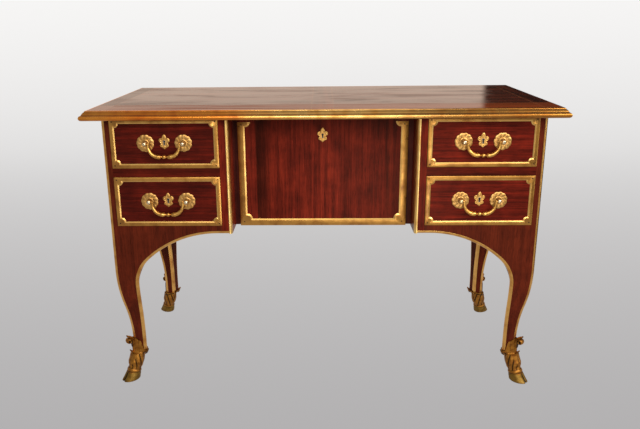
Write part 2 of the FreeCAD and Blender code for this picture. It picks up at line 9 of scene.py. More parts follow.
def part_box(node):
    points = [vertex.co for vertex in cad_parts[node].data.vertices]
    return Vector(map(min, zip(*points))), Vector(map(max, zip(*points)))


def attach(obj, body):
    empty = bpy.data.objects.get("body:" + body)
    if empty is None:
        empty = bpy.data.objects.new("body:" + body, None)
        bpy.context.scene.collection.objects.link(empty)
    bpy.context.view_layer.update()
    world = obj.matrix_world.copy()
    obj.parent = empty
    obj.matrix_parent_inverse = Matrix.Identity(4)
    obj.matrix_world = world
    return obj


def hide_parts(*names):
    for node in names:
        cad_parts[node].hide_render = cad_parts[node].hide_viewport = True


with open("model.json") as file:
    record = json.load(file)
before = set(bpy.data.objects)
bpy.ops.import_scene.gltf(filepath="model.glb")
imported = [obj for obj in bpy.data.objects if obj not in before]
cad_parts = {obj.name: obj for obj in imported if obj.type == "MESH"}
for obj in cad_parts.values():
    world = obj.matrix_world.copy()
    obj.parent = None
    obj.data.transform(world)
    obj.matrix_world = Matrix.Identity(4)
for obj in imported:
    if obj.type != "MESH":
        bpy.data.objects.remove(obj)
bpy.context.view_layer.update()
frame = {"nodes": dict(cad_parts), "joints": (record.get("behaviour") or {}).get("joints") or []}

nodes = frame["nodes"]


# Carcass of legs, side panels, aprons, stiles and rails: softwood covered with dark red veneer, its grain
# upright on the legs, sides and aprons and level on the rails and the back. The veneer is stained, filled
# and french polished.
def colour(red, green, blue):
    """A colour read off a screen, 0 to 255, as the shader wants it."""
    def level(value):
        share = value / 255
        return share / 12.92 if share <= 0.04045 else ((share + 0.055) / 1.055) ** 2.4

    return (level(red), level(green), level(blue), 1)


def grey(level):
    return (level, level, level, 1)


def shade(tree, kind, sockets=None, **settings):
    """One shader node. A socket is given a number, a colour, or the output that feeds it."""
    node = tree.nodes.new("ShaderNode" + kind)
    for key, value in settings.items():
        setattr(node, key, value)
    for key, value in (sockets or {}).items():
        if isinstance(value, bpy.types.NodeSocket):
            tree.links.new(value, node.inputs[key])
        else:
            node.inputs[key].default_value = value
    return node


def new_finish(name):
    """An empty material, its tree, and the place on the piece that its patterns follow."""
    finish = bpy.data.materials.new(name)
    finish.use_nodes = True
    tree = finish.node_tree
    tree.nodes.clear()
    return finish, tree, shade(tree, "TexCoord").outputs["Object"]


def close_finish(tree, sockets):
    skin = shade(tree, "BsdfPrincipled", sockets)
    shade(tree, "OutputMaterial", {"Surface": skin.outputs["BSDF"]})


def ramp(tree, factor, *stops):
    """A row of colours, each at its own place between 0 and 1."""
    node = shade(tree, "ValToRGB", {"Fac": factor})
    marks = node.color_ramp.elements
    while len(marks) < len(stops):
        marks.new(0.5)
    for mark, (place, tone) in zip(marks, stops):
        mark.position = place
        mark.color = tone
    return node.outputs["Color"]


def blend(tree, factor, first, second, kind="MIX"):
    sockets = {"Fac": factor, "Color1": first, "Color2": second}
    return shade(tree, "MixRGB", sockets, blend_type=kind).outputs["Color"]


def spread(tree, value, start, end, low=0.0, high=1.0):
    """A value stretched so that start becomes low and end becomes high."""
    sockets = {"Value": value, "From Min": start, "From Max": end, "To Min": low, "To Max": high}
    return shade(tree, "MapRange", sockets).outputs["Result"]


def bump(tree, height, strength, distance=0.0004):
    sockets = {"Height": height, "Strength": strength, "Distance": distance}
    return shade(tree, "Bump", sockets).outputs["Normal"]


def noise(tree, point, scale, detail, rough=0.5, twist=0.0):
    """Cloudy noise; the scale is in features per metre."""
    sockets = {"Vector": point, "Scale": scale, "Detail": detail, "Roughness": rough, "Distortion": twist}
    return shade(tree, "TexNoise", sockets).outputs["Fac"]


def grain(tree, point, along, lengthways, across, detail, rough=0.55, twist=0.0):
    """Noise drawn out along one axis; the two counts are features per metre."""
    counts = [across, across, across]
    counts["XYZ".index(along)] = lengthways
    bed = shade(tree, "Mapping", {"Vector": point, "Scale": counts}).outputs["Vector"]
    return noise(tree, bed, 1.0, detail, rough, twist)


def tinted_along(tree, point, tone, axis, start, end, stops):
    """A tone multiplied by a row of tints that lie between two places on one axis."""
    place = shade(tree, "SeparateXYZ", {"Vector": point}).outputs[axis]
    tints = ramp(tree, spread(tree, place, start, end), *stops)
    return blend(tree, 1.0, tone, tints, "MULTIPLY")


def veneer(name, along, tones, ribbons=70.0, run=2.0, strips=()):
    """Polished veneer with ribbons, fine fibre, cloudy mottling and short dark pores along one axis."""
    deep, body, bright = (colour(*tone) for tone in tones)
    finish, tree, point = new_finish(name)
    ribbon = grain(tree, point, along, run, ribbons, detail=4.0, rough=0.6, twist=0.5)
    fibre = grain(tree, point, along, 4 * run, 5 * ribbons, detail=4.0, rough=0.65)
    pore = grain(tree, point, along, lengthways=45.0, across=1100.0, detail=2.0, rough=0.5)
    mottle = noise(tree, point, scale=16.0, detail=4.0, rough=0.6)
    figure = blend(tree, 0.3, blend(tree, 0.4, ribbon, fibre), mottle)
    tone = ramp(tree, figure, (0.38, deep), (0.5, body), (0.62, bright))
    pits = ramp(tree, pore, (0.34, grey(0.45)), (0.46, grey(1.0)))
    tone = blend(tree, 0.8, tone, pits, "MULTIPLY")
    for row in strips:
        tone = tinted_along(tree, point, tone, *row)
    gloss = spread(tree, fibre, 0.0, 1.0, low=0.22, high=0.42)
    close_finish(tree, {"Base Color": tone, "Roughness": gloss, "Normal": bump(tree, pits, strength=0.12),
                        "Specular IOR Level": 0.09, "Specular Tint": (1.0, 0.7, 0.55, 1)})
    return finish


def give(finish, *names):
    for name in names:
        slots = nodes[name].data.materials
        slots.clear()
        slots.append(finish)


corners = ("front_left", "front_right", "back_left", "back_right")
hands = ("left", "right")
leg_veneer = veneer("leg_veneer", "Z", ((67, 23, 13), (87, 31, 17), (106, 39, 21)), ribbons=60.0)
rail_veneer = veneer("rail_veneer", "X", ((54, 15, 9), (80, 22, 13), (108, 31, 17)))
stile_veneer = veneer("stile_veneer", "Z", ((74, 20, 12), (110, 30, 18), (140, 44, 25)), ribbons=40.0)
recess_veneer = veneer("recess_veneer", "Z", ((38, 14, 12), (62, 22, 18), (92, 36, 30)), ribbons=60.0)
give(leg_veneer, *["leg_" + corner for corner in corners])
give(leg_veneer, *[panel + hand for panel in ("side_panel_", "front_apron_") for hand in hands])
give(rail_veneer, "drawer_rails", "back_panel")
give(stile_veneer, *["inner_side_" + hand for hand in hands])
give(recess_veneer, "fall_stiles")


# Top board: a panel of dark figured veneer in two halves, with a border, cross-banded at the ends, and a band
# across the middle, each edged with a thin light line. It has the deepest polish of the desk, and its front
# border is worn brown and dull.
def top_finish():
    end_border = 0.044
    long_border = 0.100
    half_band = 0.029
    half_line = 0.0011
    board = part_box("top_panel")[1]
    finish, tree, point = new_finish("top_veneer")
    axes = shade(tree, "SeparateXYZ", {"Vector": point}).outputs

    def reckon(operation, first, second=0.0):
        return shade(tree, "Math", {0: first, 1: second}, operation=operation).outputs["Value"]

    def outside(axis, place):
        """How far a point lies outside a line that is drawn on both sides of the middle."""
        return reckon("SUBTRACT", reckon("ABSOLUTE", axes[axis]), place)

    def on_line(distance):
        return reckon("LESS_THAN", reckon("ABSOLUTE", distance), half_line)

    past_ends = outside("X", board.x - end_border)
    past_sides = outside("Y", board.y - long_border)
    past_band = outside("X", half_band)
    end_strip = reckon("GREATER_THAN", past_ends)
    middle_band = reckon("SUBTRACT", 1.0, reckon("GREATER_THAN", past_band))
    front_strip = reckon("MULTIPLY", reckon("GREATER_THAN", past_sides), reckon("LESS_THAN", axes["Y"]))
    crossed = reckon("MAXIMUM", end_strip, middle_band)
    lines = reckon("MAXIMUM", reckon("MAXIMUM", on_line(past_ends), on_line(past_sides)), on_line(past_band))

    crosswise = grain(tree, point, "Y", lengthways=1.4, across=26.0, detail=4.0, twist=0.8)
    lengthwise = grain(tree, point, "X", lengthways=1.0, across=24.0, detail=4.0, twist=0.8)
    fibre = grain(tree, point, "X", lengthways=6.0, across=300.0, detail=4.0)
    figure = blend(tree, 0.3, blend(tree, crossed, lengthwise, crosswise), fibre)
    tone = ramp(tree, figure, (0.36, colour(40, 12, 6)), (0.5, colour(78, 27, 13)),
                (0.64, colour(124, 50, 25)))
    tone = blend(tree, reckon("MULTIPLY", front_strip, 0.45), tone, colour(176, 82, 34))
    tone = blend(tree, lines, tone, colour(140, 84, 50))

    wear = grain(tree, point, "X", lengthways=4.5, across=16.0, detail=5.0, rough=0.6, twist=0.5)
    streaks = grain(tree, point, "X", lengthways=1.6, across=50.0, detail=5.0, rough=0.6, twist=0.4)
    polished = ramp(tree, wear, (0.4, grey(0.165)), (0.52, grey(0.125)), (0.62, grey(0.05)))
    dull = ramp(tree, streaks, (0.46, grey(0.04)), (0.54, grey(0.022)), (0.6, grey(0.003)))
    shine = blend(tree, end_strip, blend(tree, front_strip, polished, dull), grey(0.06))
    gloss = spread(tree, wear, 0.35, 0.65, low=0.06, high=0.2)
    ripple = bump(tree, figure, strength=0.05, distance=0.0006)
    close_finish(tree, {"Base Color": tone, "Roughness": gloss, "Normal": ripple,
                        "Specular IOR Level": shine, "Specular Tint": (0.8, 0.62, 0.5, 1)})
    return finish


give(top_finish(), "top_panel")


# Drawer fronts and fall-front: the best figured veneer, laid level on the drawers and upright on the fall,
# polished like the carcass and let into it flush. The right-hand drawers get a brighter, warmer copy of the
# veneer, painted light for the side the light falls on more strongly, and the fall is laid in strips, one of
# them much darker.
drawers = ("upper_left", "lower_left", "upper_right", "lower_right")
drawer_tones = ((54, 14, 11), (80, 21, 14), (112, 30, 19))
# Brighter, warmer tones for the right-hand drawers: painted light where the light falls more strongly.
right_lit_tones = ((62, 16, 11), (94, 25, 16), (132, 36, 22))
drawer_veneer = veneer("drawer_veneer", "X", drawer_tones, ribbons=130.0, run=2.5)
warm_veneer = veneer("warm_veneer", "X", right_lit_tones, ribbons=130.0, run=2.5)
for drawer in drawers:
    give(warm_veneer if "right" in drawer else drawer_veneer, "drawer_front_" + drawer)
fall_low, fall_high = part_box("fall_panel")
fall_tones = ((74, 21, 14), (112, 33, 21), (148, 47, 29))
fall_strips = ((0.0, grey(0.85)), (0.09, grey(0.95)), (0.103, grey(0.95)), (0.108, (0.26, 0.36, 0.36, 1)),
               (0.15, (0.4, 0.48, 0.48, 1)), (0.19, grey(0.72)), (0.32, grey(0.85)), (0.56, grey(0.9)),
               (0.59, grey(1.0)), (0.63, grey(0.75)), (0.87, grey(0.72)), (0.89, (0.86, 1.0, 0.9, 1)),
               (0.91, grey(0.72)), (1.0, grey(0.8)))
fall_veneer = veneer("fall_veneer", "Z", fall_tones, ribbons=80.0, run=2.5,
                     strips=[("X", fall_low.x, fall_high.x, fall_strips)])
give(fall_veneer, "fall_panel")


# Inside of the carcass and drawers: plain oak boards, planed flat, waxed and left pale. The grain runs from
# side to side in the compartment's floor and shelf, and from front to back in the pedestals and drawers.
def oak(name, along):
    finish, tree, point = new_finish(name)
    growth = grain(tree, point, along, lengthways=1.5, across=40.0, detail=4.0, rough=0.5, twist=0.7)
    fleck = grain(tree, point, along, lengthways=30.0, across=500.0, detail=3.0)
    tone = ramp(tree, growth, (0.3, colour(112, 80, 48)), (0.5, colour(146, 108, 66)),
                (0.7, colour(172, 134, 88)))
    pores = ramp(tree, fleck, (0.36, grey(0.55)), (0.5, grey(1.0)))
    tone = blend(tree, 0.7, tone, pores, "MULTIPLY")
    rough = spread(tree, growth, 0.0, 1.0, low=0.5, high=0.75)
    close_finish(tree, {"Base Color": tone, "Roughness": rough, "Normal": bump(tree, pores, strength=0.2)})
    return finish


give(oak("oak_level", "X"), "compartment_shelf", "compartment_floor")
give(oak("oak_deep", "Y"), "dust_boards", "pedestal_bottoms", *["drawer_box_" + drawer for drawer in drawers])


# Brass rim of the top and the brass beads on the arrises: the rim is an ogee moulding, mitred at the corners,
# and the beads are drawn and bent lengths. All are pinned and lacquered, with brown tarnish left in patches.
def brass(name, bright, dull, smooth, rough, painted_light_rows=()):
    """Lacquered brass with dull patches. Each row of painted light tints it along one axis."""
    finish, tree, point = new_finish(name)
    patch = noise(tree, point, scale=28.0, detail=2.0)
    tone = ramp(tree, patch, (0.32, colour(*dull)), (0.56, colour(*bright)))
    for row in painted_light_rows:
        tone = tinted_along(tree, point, tone, *row)
    gloss = spread(tree, patch, 0.3, 0.7, low=rough, high=smooth)
    dents = bump(tree, noise(tree, point, scale=45.0, detail=0.0), strength=0.02)
    close_finish(tree, {"Base Color": tone, "Metallic": 1.0, "Roughness": gloss, "Normal": dents,
                        "Coat Weight": 0.5, "Coat Roughness": 0.2})
    return finish


bead_brass = brass("bead_brass", (242, 186, 100), (198, 136, 60), 0.24, 0.4)
# A paler, brighter copy of the bead brass for the inner corner beads: a painted highlight.
bright_brass = brass("bright_brass", (255, 216, 132), (232, 178, 92), 0.3, 0.42)
give(bead_brass, "corner_beads", "arch_beads", "leg_inner_beads")
give(bright_brass, "inner_corner_beads")
mm = 0.001
weld = 0.00001
crease = math.radians(40)


def loop_of(bm, points, closed=True):
    ring = [bm.verts.new(point) for point in points]
    pairs = list(zip(ring[:-1], ring[1:]))
    if closed:
        pairs.append((ring[-1], ring[0]))
    return [bm.edges.new(pair) for pair in pairs]


def bridged(bm, loops):
    """Join each loop of edges to the next, and give back the faces of each strip."""
    pairs = zip(loops[:-1], loops[1:])
    return [bmesh.ops.bridge_loops(bm, edges=first + second)["faces"] for first, second in pairs]


def moulded(bm, rings, closed=True):
    """A moulding whose section's corners run along the rings, in turn. Its strips are given back."""
    loops = [loop_of(bm, points, closed) for points in rings]
    return bridged(bm, loops + loops[:1])


def finished(name, bm, finishes, body, slot, *replaced):
    """Turn a bmesh into a piece that rides on a body and stands for CAD nodes."""
    bmesh.ops.remove_doubles(bm, verts=bm.verts, dist=weld)
    bmesh.ops.recalc_face_normals(bm, faces=bm.faces)
    shape = bpy.data.meshes.new(name)
    bm.to_mesh(shape)
    bm.free()
    for finish in finishes:
        shape.materials.append(finish)
    shape.shade_smooth()
    shape.set_sharp_from_angle(angle=crease)
    piece = bpy.data.objects.new(name, shape)
    bpy.context.scene.collection.objects.link(piece)
    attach(piece, body)
    if replaced:
        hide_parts(*replaced)


rim_low, rim_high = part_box("top_rim")
# Painted shade along the rim's height: darker on its underside, in the quirk below the top bead and where the
# cove meets the torus, and a little in the cove.
rim_groove_shade = ((0.0, grey(0.5)), (0.14, grey(1.0)), (0.54, grey(1.0)), (0.565, grey(0.5)), (0.6, grey(0.85)),
             (0.86, grey(0.9)), (0.88, grey(0.5)), (0.91, grey(1.0)))
# Painted reflection along the rim's length: orange towards the left end, untinted in the middle, darker and
# duller towards the right end.
rim_reflection_tints = ((0.0, (0.95, 0.68, 0.34, 1)), (0.1, (0.98, 0.52, 0.13, 1)), (0.3, (0.98, 0.58, 0.2, 1)),
            (0.42, grey(1.0)), (0.6, grey(1.0)), (0.74, (0.56, 0.46, 0.31, 1)), (0.94, (0.6, 0.42, 0.2, 1)),
            (1.0, (0.75, 0.58, 0.32, 1)))
rim_brass = brass("rim_brass", (246, 192, 106), (210, 146, 64), 0.24, 0.36,
                  (("Z", rim_low.z, rim_high.z, rim_groove_shade), ("X", rim_low.x, rim_high.x, rim_reflection_tints)))
# out from the board's edge, down from its top
rim_section = ((0, 0), (2.4, 0.1), (3.7, 0.5), (4.6, 1.3), (5.0, 2.3), (5.2, 3.0), (5.9, 3.5), (7.2, 4.3),
               (8.6, 5.5), (9.8, 7.0), (10.8, 8.7), (11.4, 10.0), (12.0, 10.8), (12.9, 11.3), (14.4, 11.9),
               (16.1, 13.1), (17.4, 15.0), (18.0, 17.5), (17.6, 20.1), (16.0, 22.7), (13.4, 24.4),
               (10.0, 25.0), (0, 25.0))
board_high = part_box("top_panel")[1]
rim_mesh = bmesh.new()
rim_rings = []
for out, down in rim_section:
    x, y, z = board_high.x + out * mm, board_high.y + out * mm, rim_high.z - down * mm
    rim_rings.append([(x, y, z), (-x, y, z), (-x, -y, z), (x, -y, z)])
moulded(rim_mesh, rim_rings)
finished("rim_moulding", rim_mesh, [rim_brass], "carcass", "gilt_brass", "top_rim")


# Brass frames of the drawers: four flat lengths, mitred and pinned on the veneer. The inner edge is bevelled,
# with a paler copy of the brass on the bevel as a painted highlight, and goes round a lobe that stands into
# each corner, with a countersunk pin in the lobe.
lobe_steps = 8
pin_finish = 1
bevel_highlight_finish = 2
bevel_strip = 1
pin_radius = 2.0 * mm
pin_height = 1.45 * mm


def lobed_line(low, high, lobe, grow):
    """A frame's inner edge, moved outwards: straight sides, and a lobe that stands into each corner."""
    points = []
    radius = lobe - grow
    round_corner = grow < lobe / 2
    lean = math.asin(grow / radius) if round_corner else 0
    tips = ((high.x, low.z, 0), (high.x, high.z, 90), (low.x, high.z, 180), (low.x, low.z, 270))
    for x, z, heading in tips:
        onward = Vector((math.cos(math.radians(heading)), math.sin(math.radians(heading))))
        turned = Vector((-onward.y, onward.x))
        tip = Vector((x, z))
        for step in range(lobe_steps + 1):
            share = step / lobe_steps
            if round_corner:
                angle = math.radians(heading + 180) + lean - (math.pi / 2 + 2 * lean) * share
                points.append(tip + radius * Vector((math.cos(angle), math.sin(angle))))
            else:
                along = onward * min(0, 2 * share - 1) + turned * max(0, 2 * share - 1)
                points.append(tip + (onward - turned) * grow + along * lobe)
    return points


def faces_of(made):
    """The faces round the vertices that an operator made."""
    return {face for vert in made["verts"] for face in vert.link_faces}


def countersunk_pin(bm, x, y, z):
    """A pin head that stands a little out of the brass, dished in the middle."""
    stand = Matrix.Translation((x, y - pin_height, z)) @ Matrix.Rotation(math.pi / 2, 4, "X")
    head = bmesh.ops.create_cone(bm, cap_ends=True, segments=14, radius1=pin_radius,
                                 radius2=pin_radius * 0.86, depth=pin_radius, matrix=stand)
    faces = faces_of(head)
    front = min(faces, key=lambda face: face.calc_center_median().y)
    dish = bmesh.ops.inset_region(bm, faces=[front], thickness=pin_radius * 0.25, depth=-pin_radius * 0.12)
    for face in faces.union(dish["faces"]):
        face.material_index = pin_finish


def brass_frame(name, body, node, line, section, lobe, pin, top_strip, top_pin):
    """A frame along its inner line, with a lobe and a pin at each end of its uprights."""
    low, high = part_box(node)
    strip = section[-1][0] * mm
    low = low + Vector((strip, 0, strip))
    high = high - Vector((strip, 0, top_strip))
    frame_mesh = bmesh.new()
    rings = []
    for grow, height in section:
        rings.append([(x, high.y - height * mm, z) for x, z in line(low, high, lobe, grow * mm)])
    # The bevel strip takes the paler brass: a painted highlight.
    for face in moulded(frame_mesh, rings, closed=top_strip > 0)[bevel_strip]:
        face.material_index = bevel_highlight_finish
    bmesh.ops.holes_fill(frame_mesh, edges=[edge for edge in frame_mesh.edges if edge.is_boundary])
    for x in (low.x - pin, high.x + pin):
        for z in (low.z - pin, high.z + top_pin):
            countersunk_pin(frame_mesh, x, high.y, z)
    finished(name, frame_mesh, [frame_brass, pin_brown, bevel_highlight_brass], body, "gilt_brass", node)


frame_brass = brass("frame_brass", (216, 158, 74), (164, 110, 46), 0.26, 0.4)
pin_brown = brass("pin_brown", (70, 42, 18), (40, 24, 10), 0.5, 0.7)
# A paler, brighter copy of the frame brass for the bevel: a painted highlight.
bevel_highlight_brass = brass("bevel_highlight_brass", (246, 198, 112), (214, 158, 80), 0.26, 0.4)
# out from the inner edge, height
drawer_section = ((0, 0), (0, 0.3), (3.0, 1.9), (3.5, 2.15), (3.9, 2.15), (4.3, 2.0), (11.2, 1.9), (12, 1.5),
                  (12, 0))
for drawer in drawers:
    brass_frame("frame_" + drawer, "drawer_" + drawer, "brass_frame_" + drawer, lobed_line, drawer_section,
                lobe=11.0 * mm, pin=5.0 * mm, top_strip=12.0 * mm, top_pin=5.0 * mm)


# Brass frame of the fall-front: the same moulding in a broader size on three sides only. Its uprights are cut
# off square below the top edge, each over a lobe like those of the lower corners.
def open_lobed_line(low, high, lobe, grow):
    """The inner edge of a frame with no top rail, from the top left round to the top right."""
    radius = lobe - grow
    round_corner = grow < lobe / 2
    lean = math.asin(grow / radius) if round_corner else 0
    left = []
    for step in range(lobe_steps + 1):
        share = step / lobe_steps
        if round_corner:
            angle = -(math.pi / 2 + lean) * share
            left.append(Vector((low.x + radius * math.cos(angle), high.z + radius * math.sin(angle))))
        else:
            left.append(Vector((low.x - grow, high.z - lobe * share)))
    right = [Vector((low.x + high.x - point.x, point.y)) for point in reversed(left)]
    ring = lobed_line(low, high, lobe, grow)
    return left + ring[-lobe_steps - 1:] + ring[:lobe_steps + 1] + right


fall_section = ((0, 0), (0, 0.4), (3.8, 1.9), (4.4, 2.2), (5.2, 2.3), (6.2, 2.1), (18.4, 1.9), (19.5, 1.5),
                (19.5, 0))
brass_frame("frame_fall", "fall_front", "fall_brass_frame", open_lobed_line, fall_section,
            lobe=14.5 * mm, pin=8.5 * mm, top_strip=0, top_pin=-7.5 * mm)


# Rosettes of the handles: cast and chased in gilt brass, a ring of gadroons with a scalloped edge round a
# collar. The round head of the post in the middle holds the end of the bail.
def cast_brass(name, bright, dull, hollow, rough=0.34, coat=0.4):
    """Gilt casting: bright on the high places, brown in the hollows, from a tone stored on the mesh, which
    follows its height and on some pieces also holds painted shade.
    """
    finish, tree, point = new_finish(name)
    relief_and_shade = shade(tree, "Attribute", attribute_name="relief_and_shade").outputs["Fac"]
    patch = noise(tree, point, scale=90.0, detail=5.0, rough=0.6)
    tone = ramp(tree, patch, (0.36, colour(*dull)), (0.58, colour(*bright)))
    height = ramp(tree, relief_and_shade, (0.15, grey(0.0)), (0.6, grey(1.0)))
    tone = blend(tree, height, colour(*hollow), tone)
    gloss = spread(tree, relief_and_shade, 0.0, 1.0, low=0.6, high=rough)
    dents = bump(tree, noise(tree, point, scale=700.0, detail=3.0, rough=0.6), strength=0.1)
    close_finish(tree, {"Base Color": tone, "Metallic": 1.0, "Roughness": gloss, "Normal": dents,
                        "Coat Weight": coat, "Coat Roughness": 0.25})
    return finish


def set_relief_and_shade(bm, measure):
    """Store on each vertex a tone, 0 in a hollow and 1 on a crest, mostly from how high it stands; some
    pieces add painted shade.
    """
    layer = bm.verts.layers.float.get("relief_and_shade") or bm.verts.layers.float.new("relief_and_shade")
    for vert in bm.verts:
        vert[layer] = min(1, max(0, measure(vert.co)))


def turned_solid(bm, profile, place, steps):
    """Spin a line of (radius, height) about the axis that points out of the front."""
    line = [bm.verts.new(place + Vector((radius, -height, 0))) for radius, height in profile]
    edges = [bm.edges.new(pair) for pair in zip(line[:-1], line[1:])]
    bmesh.ops.spin(bm, geom=line + edges, cent=place, axis=(0, 1, 0), angle=2 * math.pi, steps=steps,
                   use_merge=True)


gadroons = 11
gadroon_steps = 8
gadroon_start = 9.0 * mm
gadroon_twist = 0.3 / (12.5 * mm)
groove_run = 7.0 * mm
groove_depth = 0.3
scallop_start = 18.0 * mm
scallop_run = 4.5 * mm
scallop_depth = 0.07
collar_radius = 7.0 * mm
post_head = 11.8 * mm
rosette_scale = 1.03
rosette_profile = ((0, 0), (21.6, 0), (22.4, 0.3), (22.6, 0.8), (22.2, 1.4), (20.8, 2.0), (18.4, 2.5),
                   (15.4, 2.7), (12.8, 2.5), (10.8, 2.1), (9.8, 1.8), (9.2, 2.0), (8.6, 2.4), (7.8, 2.6),
                   (7.0, 2.4), (6.4, 2.0), (5.4, 1.8), (4.4, 2.0), (4.2, 5.0), (4.2, 10.5), (4.8, 12.0),
                   (5.3, 14.0), (5.1, 16.2), (4.0, 17.7), (2.2, 18.4), (0, 18.5))
rosette_gilt = cast_brass("rosette_gilt", (226, 176, 100), (196, 144, 74), (110, 72, 32))
# A pale, near-white copy of the brass for the head of the post: a painted highlight.
post_bright = brass("post_bright", (255, 238, 205), (240, 208, 150), 0.16, 0.26)
for drawer in drawers:
    low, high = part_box("handle_plates_" + drawer)
    radius = (high.z - low.z) / 2
    post_places = (low.x + radius, high.x - radius)
    middle_z = (low.z + high.z) / 2
    pair_mesh = bmesh.new()
    rosette_line = [(reach * rosette_scale * mm, height * mm) for reach, height in rosette_profile]
    for x in post_places:
        turned_solid(pair_mesh, rosette_line, Vector((x, high.y, middle_z)), gadroons * gadroon_steps)
    bmesh.ops.remove_doubles(pair_mesh, verts=pair_mesh.verts, dist=weld)

    def from_axis(point):
        """The way from the nearer post to a point, seen from the front, and where that post stands."""
        x = min(post_places, key=lambda axis: abs(point.x - axis))
        return Vector((point.x - x, point.z - middle_z)), x

    for vert in pair_mesh.verts:
        spoke, x = from_axis(vert.co)
        beyond = spoke.length - gadroon_start
        if beyond > 0:
            turn = math.atan2(spoke.y, spoke.x) + gadroon_twist * beyond
            wave = abs(math.cos(gadroons / 2 * turn))
            groove = groove_depth * min(1, beyond / groove_run) * (1 - wave ** 0.8)
            vert.co.y += (high.y - vert.co.y) * groove
            edge = min(1, max(0, (spoke.length - scallop_start) / scallop_run))
            shrink = 1 - scallop_depth * edge * (1 - wave ** 0.7)
            vert.co.x = x + spoke.x * shrink
            vert.co.z = middle_z + spoke.y * shrink

    def rosette_tone(co):
        """Painted shade round the neck of the post, under its head; bright on its head and on the gadroons.
        """
        height = high.y - co.y
        if height > post_head:
            return 1.0
        # Painted shade: inside the collar, the neck under the post's head is held dark.
        if from_axis(co)[0].length < collar_radius:
            return 0.3
        return (height + 0.4 * mm) / (3.2 * mm)

    set_relief_and_shade(pair_mesh, rosette_tone)
    # The faces on the head of the post take the painted highlight.
    for face in pair_mesh.faces:
        face.material_index = 1 if high.y - face.calc_center_median().y > post_head else 0
    finished("rosettes_" + drawer, pair_mesh, [rosette_gilt, post_bright], "drawer_" + drawer, "gilt_brass",
             "handle_plates_" + drawer)


# Bails: cast brass loops that hang from the posts and swing on a pin at each end. Each arm swells towards the
# bottom, narrows to a neck, and meets the other in a round knob.
bail_half = 41.0 * mm
bail_turn = 28.0 * mm
bail_drop = 34.0 * mm
bail_upright = bail_drop - bail_turn
bail_level = bail_half - bail_turn
bail_arc = bail_turn * math.pi / 2
half_length = bail_upright + bail_arc + bail_level
arm_end = 1 - 8.4 * mm / half_length
arm_steps = 26
eye_radius = 3.1 * mm
pivot_radius = 2.0 * mm
pivot_length = 11.0 * mm
# share of the arm's length, radius
arm_swell = ((0.0, 2.8), (0.12, 3.4), (0.3, 4.3), (0.5, 5.1), (0.64, 5.6), (0.74, 6.0), (0.81, 5.6),
             (0.86, 4.0), (0.9, 2.5))
# distance from the middle, radius
knob_swell = ((-7.8, 2.6), (-7.2, 3.0), (-6.4, 2.6), (-5.8, 2.0), (-5.0, 2.6), (-4.2, 4.0), (-2.6, 5.0),
              (0.0, 5.4), (2.6, 5.0), (4.2, 4.0), (5.0, 2.6), (5.8, 2.0), (6.4, 2.6), (7.2, 3.0), (7.8, 2.6))


def capped(bm, loops):
    """Join each loop of edges to the next, and close the first and the last."""
    bridged(bm, loops)
    bmesh.ops.holes_fill(bm, edges=loops[0] + loops[-1])


def swept_bar(bm, stations, sides=16):
    """A round bar through stations of (place, direction, radius), closed at both ends."""
    loops = []
    for place, along, radius in stations:
        stand = Matrix.Translation(place) @ along.to_track_quat("Z", "Y").to_matrix().to_4x4()
        ring = bmesh.ops.create_circle(bm, cap_ends=False, segments=sides, radius=radius, matrix=stand)
        loops.append(list({edge for vert in ring["verts"] for edge in vert.link_edges}))
    capped(bm, loops)


def arm_radius(share):
    for (start, first), (end, second) in zip(arm_swell[:-1], arm_swell[1:]):
        if share <= end:
            part = (share - start) / (end - start)
            return first + (second - first) * part * part * (3 - 2 * part)
    return arm_swell[-1][1]


def arm_station(axle, share, side):
    """Place, direction and radius of one arm, at a share of the way from its pivot to the middle."""
    run = share * half_length
    radius = arm_radius(share) * mm
    if run < bail_upright:
        return axle + Vector((side * bail_half, 0, -run)), Vector((0, 0, -1)), radius
    if run < bail_upright + bail_arc:
        angle = (run - bail_upright) / bail_turn
        hub = axle + Vector((side * bail_level, 0, -bail_upright))
        spoke = Vector((side * math.cos(angle), 0, -math.sin(angle)))
        return hub + spoke * bail_turn, Vector((-side * math.sin(angle), 0, -math.cos(angle))), radius
    return axle + Vector((side * (half_length - run), 0, -bail_drop)), Vector((-side, 0, 0)), radius


bail_gilt = cast_brass("bail_gilt", (238, 186, 96), (198, 142, 64), (104, 66, 26))
for drawer in drawers:
    swing = next(joint for joint in frame["joints"] if joint["child"] == "handle_" + drawer)
    axle = Vector(swing["pos_m"])
    bail_mesh = bmesh.new()
    shares = [arm_end * step / arm_steps for step in range(arm_steps + 1)]
    left = [arm_station(axle, share, -1) for share in shares]
    right = [arm_station(axle, share, 1) for share in shares]
    knob = [(axle + Vector((place * mm, 0, -bail_drop)), Vector((1, 0, 0)), radius * mm)
            for place, radius in knob_swell]
    swept_bar(bail_mesh, left + knob + [(place, -along, radius) for place, along, radius in reversed(right)])
    for side in (-1, 1):
        outward = Vector((side, 0, 0))
        eye = axle + outward * bail_half
        bmesh.ops.create_uvsphere(bail_mesh, u_segments=16, v_segments=10, radius=eye_radius,
                                  matrix=Matrix.Translation(eye))
        swept_bar(bail_mesh, [(eye, outward, pivot_radius),
                              (eye + outward * pivot_length, outward, pivot_radius)])
    set_relief_and_shade(bail_mesh, lambda co: 1 - 1.4 * max(0, co.y - axle.y) / (5 * mm))
    finished("bail_loop_" + drawer, bail_mesh, [bail_gilt], "handle_" + drawer, "gilt_brass",
             "bail_" + drawer)


